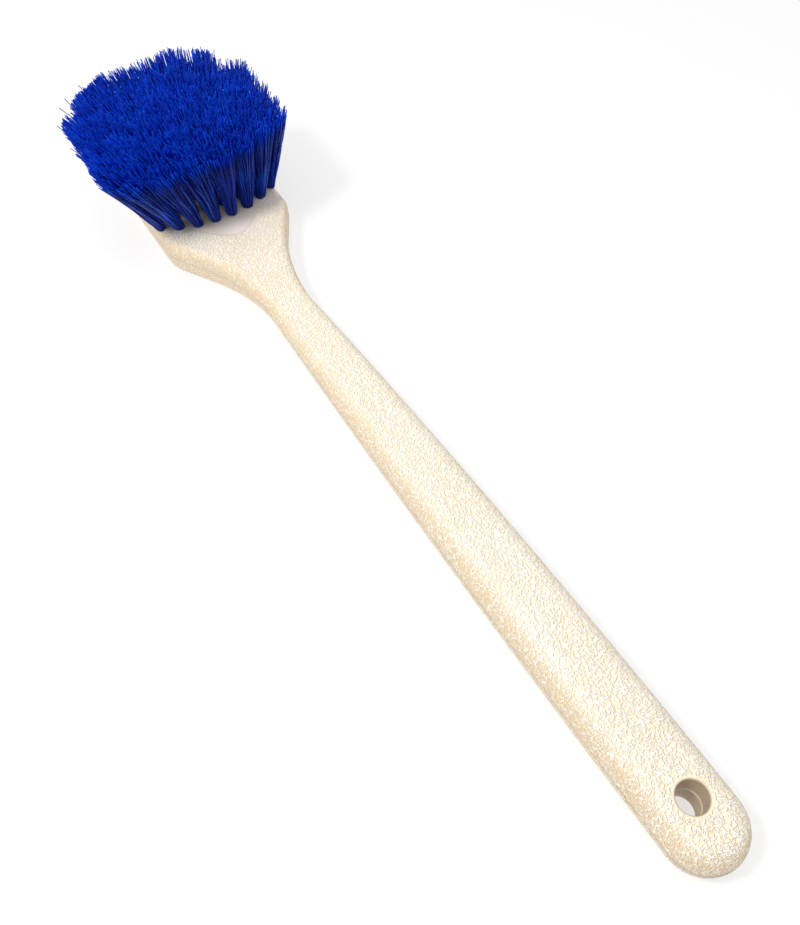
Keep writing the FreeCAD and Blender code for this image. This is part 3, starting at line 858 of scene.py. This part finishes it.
def tubes(path, radii, sides):
    """Closed tubes round many paths at once: rings of points square to each path, joined by quads, with flat ends."""
    count, rows = path.shape[:2]
    turn = (np.arange(sides) * 2 * math.pi / sides)[None, None, :, None]
    tangent = np.gradient(path, axis=1)
    tangent /= np.linalg.norm(tangent, axis=2)[..., None]
    first = np.cross(tangent, np.array([0.0, 1.0, 0.0]))
    first /= np.linalg.norm(first, axis=2)[..., None]
    second = np.cross(tangent, first)
    ring = first[:, :, None] * np.cos(turn) + second[:, :, None] * np.sin(turn)
    points = path[:, :, None] + ring * radii[None, :, None, None]
    numbers = np.arange(count * rows * sides).reshape(count, rows, sides)
    loop = np.concatenate([numbers, numbers[:, :, :1]], axis=2)
    sheath = np.stack([loop[:, :-1, :-1], loop[:, :-1, 1:], loop[:, 1:, 1:], loop[:, 1:, :-1]], axis=-1)
    faces = sheath.reshape(-1, 4).tolist() + numbers[:, -1].tolist() + numbers[:, 0, ::-1].tolist()
    return points.reshape(-1, 3), faces


def splay(end, centre, reach, most, rng):
    """Spreads tips outwards from the middle of the whole pattern, more towards its edge, and rounds off its outline.

    The spread is weighted by direction: squares of its parts ahead and aside, and for the corners the square of
    twice their product. Tips past a circle in front, or past a rounded square behind, are then drawn in. Gives the
    tips, how far aside they stood before that, how near the edge they started, and their directions.
    """
    out = (end - centre) / reach
    edge = np.linalg.norm(out, axis=1)
    heading = out / (edge[:, None] + 1e-9)
    spread = most * ramp(edge, 0.55, 1.15) * (0.45 + 0.55 * rng.random(len(end)))
    ahead, aside = heading[:, 0], heading[:, 1]
    weight = np.where(ahead < 0, 1.0, 1.2) * ahead**2 + np.where(aside < 0, 0.35, -0.1) * aside**2
    corner = np.where(ahead > 0, np.where(aside < 0, 0.6, 0.1), np.where(aside < 0, -0.6, 0.8))
    weight += corner * (2 * ahead * aside) ** 2
    end = end + heading * (spread * weight)[:, None]
    out = (end - centre) / reach
    in_front = out[:, 0] > 0
    power = np.where(in_front, 2.0, 2.5)
    far = (np.abs(out) ** power[:, None]).sum(axis=1) ** (1 / power)
    outline = np.where(in_front, FRONT_EDGE - 0.16 * np.clip(2 * out[:, 0] * out[:, 1], 0, 1), BACK_EDGE)
    pulled = held_back(far, outline, SOFT_EDGE) / (far + 1e-9)
    return centre + (end - centre) * pulled[:, None], out[:, 1], edge, heading


def held_back(value, knee, most):
    """Lets a value past the knee by no more than most, along an exponential."""
    over = np.clip(value - knee, 0, None)
    return value - over + most * (1 - np.exp(-over / most))


GOLDEN_ANGLE = math.radians(137.508)
FRONT_EDGE, BACK_EDGE, SOFT_EDGE = 1.12, 1.2, 0.07
SIDE_ROOM, SIDE_MOST = 6 * MM, 8 * MM
FILAMENT_SIDES = 5
FILAMENT_STEPS = np.array([0.0, 0.1, 0.28, 0.46, 0.64, 0.82, 1.0])


def tuft_mesh(name, foot, tip, centre, reach, seed):
    """One tuft: filaments on a sunflower pattern of golden angles and square-root radii, each a tube along a curve.

    The curve is quadratic. It leaves the hole between the tuft's axis and the way to its tip, and ends where the
    tip has set: spread from the tuft's middle, splayed, pushed sideways by use, and lower the further it is bent.
    Some stray further. Sine waves along the length give a slight curl.
    """
    s = bpy.context.scene.brush_bristles
    rng = np.random.default_rng(seed)
    count = s.filaments
    k = np.arange(count) + 0.5
    turn = k * GOLDEN_ANGLE + rng.uniform(0, 6.283)
    share = np.sqrt(k / count)
    spoke = np.stack([np.cos(turn), np.sin(turn)], axis=1)
    root = foot[:2] + spoke * (share * s.foot_radius)[:, None]
    spread = share * s.tip_radius + rng.normal(0, 0.35 * MM, count)
    end = tip[:2] + spoke * spread[:, None] + rng.normal(0, 1.1 * MM, (count, 2))
    end, aside, edge, heading = splay(end, centre, reach, s.outer_splay, rng)
    end[:, 1] += s.set_sideways * (1 + 0.22 * aside)
    likely = s.strays * (0.4 + 2.2 * ramp(edge, 0.8, 1.1)) * ramp(heading[:, 1] - 0.5 * heading[:, 0], -0.4, 0.4)
    stray = rng.random(count) < likely
    wild = rng.normal(0, 1, (count, 2)) * 3.2 * MM + heading * rng.uniform(0, 5 * MM, count)[:, None]
    end = end + wild * stray[:, None]
    end[:, 1] = held_back(end[:, 1], CAD_BOX[1][1] + SIDE_ROOM, SIDE_MOST)
    bent = end - (root + (tip - foot)[:2])
    height = tip[2] - (bent**2).sum(axis=1) / (2 * (tip[2] - foot[2])) + rng.normal(0, s.ragged, count)
    height -= stray * rng.uniform(0, 4 * MM, count)
    height = np.minimum(height, tip[2] + 1.8 * MM)
    start = np.column_stack([root, np.full(count, foot[2] - 1.2 * MM)])
    stop = np.column_stack([end, height])
    rise = stop[:, 2] - start[:, 2]
    leaving = (tip - foot)[:2] / (tip[2] - foot[2]) * rise[:, None]
    leaving += (end - root - leaving) * 0.8
    middle = start + np.column_stack([leaving, rise]) * 0.5
    t = FILAMENT_STEPS[None, :, None]
    path = start[:, None] * (1 - t) ** 2 + 2 * middle[:, None] * t * (1 - t) + stop[:, None] * t**2
    for size, waves in ((0.45 * MM, 1), (0.25 * MM, 2)):
        path[..., :2] += rng.normal(0, size, (count, 1, 2)) * np.sin(waves * np.pi * t)
    points, faces = tubes(path, s.thickness / 2 * (1 - 0.12 * FILAMENT_STEPS), FILAMENT_SIDES)
    mesh = mesh_from(points, faces, name)
    give_attribute(mesh, "shade", np.repeat(rng.random(count) ** 1.7, len(FILAMENT_STEPS) * FILAMENT_SIDES))
    give_attribute(mesh, "along", np.tile(np.repeat(FILAMENT_STEPS, FILAMENT_SIDES), count))
    return mesh


# --- the stage ----------------------------------------------------------------


def soft_light(name, width, power, place, aim):
    """A round soft light at a place, turned towards another."""
    lamp = bpy.data.lights.new(name, "AREA")
    lamp.shape = "DISK"
    lamp.size = width
    lamp.energy = power
    light = bpy.data.objects.new(name, lamp)
    light.location = place
    light.rotation_euler = (Vector(aim) - light.location).to_track_quat("-Z", "Y").to_euler()
    bpy.context.scene.collection.objects.link(light)
    return light


# --- operators ----------------------------------------------------------------


class BRUSH_OT_moulding(bpy.types.Operator):
    """Build the moulded handle and head in three lengths that meet in shared sections"""

    bl_idname = "brush.moulding"
    bl_label = "Moulding"

    def execute(self, context):
        sizes = context.scene.brush_block
        shape = Moulding(sizes)
        material = plastic_material()
        cuts = (0.0, sizes.seam / 2, sizes.seam, sizes.overall)
        for name, start, end in zip(("grip_end", "grip_front", "flared_head"), cuts, cuts[1:]):
            mesh = moulding_mesh(shape, start, end, STATION_STEP, name)
            relief_modifier(as_piece(mesh, material, "block_plastic", "handle_block"))
        return {"FINISHED"}


class BRUSH_OT_tufts(bpy.types.Operator):
    """Build a bundle of separate filaments in place of every CAD tuft"""

    bl_idname = "brush.tufts"
    bl_label = "Tufts"

    def execute(self, context):
        if not TUFT_NODES:
            raise RuntimeError("the CAD model has no tufts")
        material = bristle_material()
        ends = [tuft_axis(node) for node in TUFT_NODES]
        tips = np.array([tip for foot, tip in ends])[:, :2]
        centre = (tips.min(axis=0) + tips.max(axis=0)) / 2
        reach = (tips.max(axis=0) - tips.min(axis=0)) / 2 + 5 * MM
        for seed, (node, (foot, tip)) in enumerate(zip(TUFT_NODES, ends)):
            mesh = tuft_mesh(node.replace("tuft_", "filaments_"), foot, tip, centre, reach, seed + 1)
            as_piece(mesh, material, "bristle", node)
        return {"FINISHED"}


class BRUSH_OT_anchors(bpy.types.Operator):
    """Give the CAD anchors their drawn wire finish"""

    bl_idname = "brush.anchors"
    bl_label = "Anchors"

    def execute(self, context):
        anchors = frame["nodes"]["staple_anchors"]
        for material_slot in anchors.material_slots:
            material_slot.link = "OBJECT"
            material_slot.material = wire_material()
        return {"FINISHED"}


class BRUSH_OT_stage(bpy.types.Operator):
    """Set up the floor, the soft light and the camera"""

    bl_idname = "brush.stage"
    bl_label = "Stage"

    def execute(self, context):
        s = context.scene.brush_stage
        half = s.floor_size / 2
        steps = np.linspace(-half, half, 5)
        under = np.full((5, 5), -0.35 * MM)  # clear of the ridges under the head
        grid = np.stack([*np.meshgrid(steps, steps, indexing="ij"), under], axis=-1)
        mesh = mesh_from(grid.reshape(-1, 3), quads(np.arange(25).reshape(5, 5)), "floor")
        floor = bpy.data.objects.new("floor", mesh)
        context.scene.collection.objects.link(floor)
        shader = Shader("pale_floor")
        if not shader.made:
            faint = shader.remap(shader.noise(shader.place(), 3.0), 0.3, 0.7)
            grey = shader.mix(faint, (0.40, 0.40, 0.40, 1), (0.42, 0.42, 0.42, 1))
            shader.set(Base_Color=grey, Roughness=0.9, Emission_Color=(1, 1, 1, 1), Emission_Strength=0.59)
        mesh.materials.append(shader.material)

        world = bpy.data.worlds.new("studio")
        world.use_nodes = True
        sky = world.node_tree.nodes["Background"]
        sky.inputs["Color"].default_value = (1, 1, 1, 1)
        sky.inputs["Strength"].default_value = s.sky
        context.scene.world = world

        key = soft_light("key", 0.9, s.key_power, (-0.1, 0.05, 1.3), (-0.1, 0, 0))
        fill = soft_light("fill", 0.22, s.fill_power, (0.05, 0.55, 0.9), (0.1, 0, 0.03))

        camera_data = bpy.data.cameras.new("camera")
        camera_data.lens = s.lens
        camera_data.sensor_width = s.aperture
        camera_data.clip_start = 0.01
        camera_data.dof.use_dof = False
        camera = bpy.data.objects.new("camera", camera_data)
        forward = Vector((
            math.cos(s.dip) * math.cos(s.heading), math.cos(s.dip) * math.sin(s.heading), -math.sin(s.dip)
        ))
        right = forward.cross(Vector((0, 0, 1))).normalized()
        upward = right.cross(forward)
        turned_right = math.cos(s.roll) * right + math.sin(s.roll) * upward
        turned_up = -math.sin(s.roll) * right + math.cos(s.roll) * upward
        turned = Matrix((turned_right, turned_up, -forward)).transposed()
        camera.matrix_world = Matrix.Translation(Vector(s.camera_at)) @ turned.to_4x4()
        context.scene.collection.objects.link(camera)
        context.scene.camera = camera
        context.scene.view_settings.view_transform = "Standard"
        return {"FINISHED"}


OPERATORS = (BRUSH_OT_moulding, BRUSH_OT_tufts, BRUSH_OT_anchors, BRUSH_OT_stage)


class BRUSH_PT_panel(bpy.types.Panel):
    """Lists the brush's settings and the operators that build it"""

    bl_idname = "BRUSH_PT_panel"
    bl_label = "Wheel brush"
    bl_space_type = "VIEW_3D"
    bl_region_type = "UI"
    bl_category = "Wheel brush"

    def draw(self, context):
        for operator in OPERATORS:
            self.layout.operator(operator.bl_idname)
        for name, group in GROUPS.items():
            box = self.layout.box()
            for setting in group.__annotations__:
                box.prop(getattr(context.scene, name), setting)


def register():
    """Registers the settings, the operators and the panel."""
    for name, group in GROUPS.items():
        bpy.utils.register_class(group)
        setattr(bpy.types.Scene, name, PointerProperty(type=group))
    for operator in OPERATORS:
        bpy.utils.register_class(operator)
    bpy.utils.register_class(BRUSH_PT_panel)


def unregister():
    """Takes them out again."""
    bpy.utils.unregister_class(BRUSH_PT_panel)
    for operator in reversed(OPERATORS):
        bpy.utils.unregister_class(operator)
    for name, group in reversed(GROUPS.items()):
        delattr(bpy.types.Scene, name)
        bpy.utils.unregister_class(group)


def main():
    """Builds the brush and its stage."""
    register()
    bpy.ops.brush.moulding()
    bpy.ops.brush.tufts()
    bpy.ops.brush.anchors()
    bpy.ops.brush.stage()
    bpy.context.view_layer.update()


if __name__ == "__main__":
    main()
